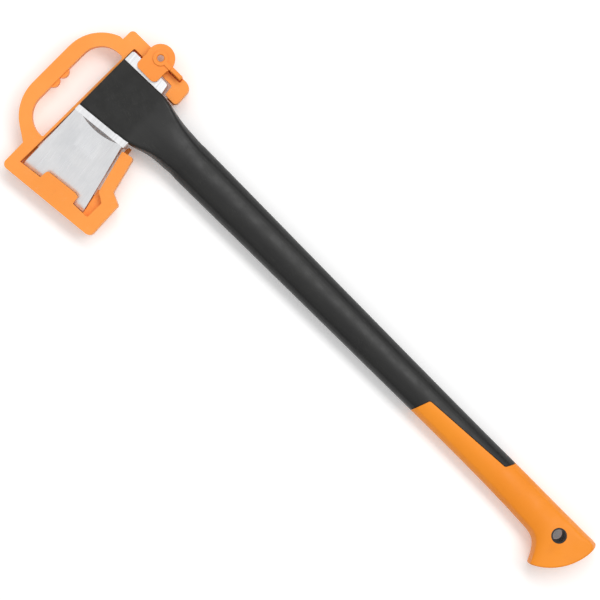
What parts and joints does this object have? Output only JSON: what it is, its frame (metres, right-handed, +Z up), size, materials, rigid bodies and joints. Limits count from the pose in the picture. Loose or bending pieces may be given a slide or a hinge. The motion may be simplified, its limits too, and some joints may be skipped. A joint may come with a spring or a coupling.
{
  "type": "felling axe in a transport guard",
  "caption": "Splitting-pattern felling axe: steel wedge head moulded into a hollow composite handle with a soft orange grip, held in a plastic guard with a carry handle and a swivel lock.",
  "frame": {"origin": "on the ground under the centre of the whole object's box; the axe lies on its side", "axes": "+X along the handle from the knob to the head, +Y from the poll to the cutting edge, +Z up, square to the head's cheeks"},
  "size_m": [0.7622, 0.2112, 0.0415],
  "materials": {
    "forged_steel": "fine ground steel, light grey",
    "black_composite": "satin black glass-fibre composite",
    "soft_orange_grip": "soft matte orange overmould",
    "orange_guard_plastic": "fine-grained orange moulding",
    "orange_lock_plastic": "smooth orange moulding"
  },
  "bodies": {
    "root": {"axe_head": "forged_steel", "handle_shaft": "black_composite", "handle_end_plug": "black_composite", "hang_hole_liner": "black_composite", "grip_overmould": "soft_orange_grip", "guard_frame": "orange_guard_plastic"},
    "lock": {"lock_plate": "orange_lock_plastic", "lock_retainer": "orange_lock_plastic"}
  },
  "joints": [
    {"name": "lock_turn", "type": "hinge", "parent": "root", "child": "lock", "pos_m": [0.30303, -0.09045, 0.02], "axis": [0, 0, 1], "range_deg": [0, 90]}
  ]
}
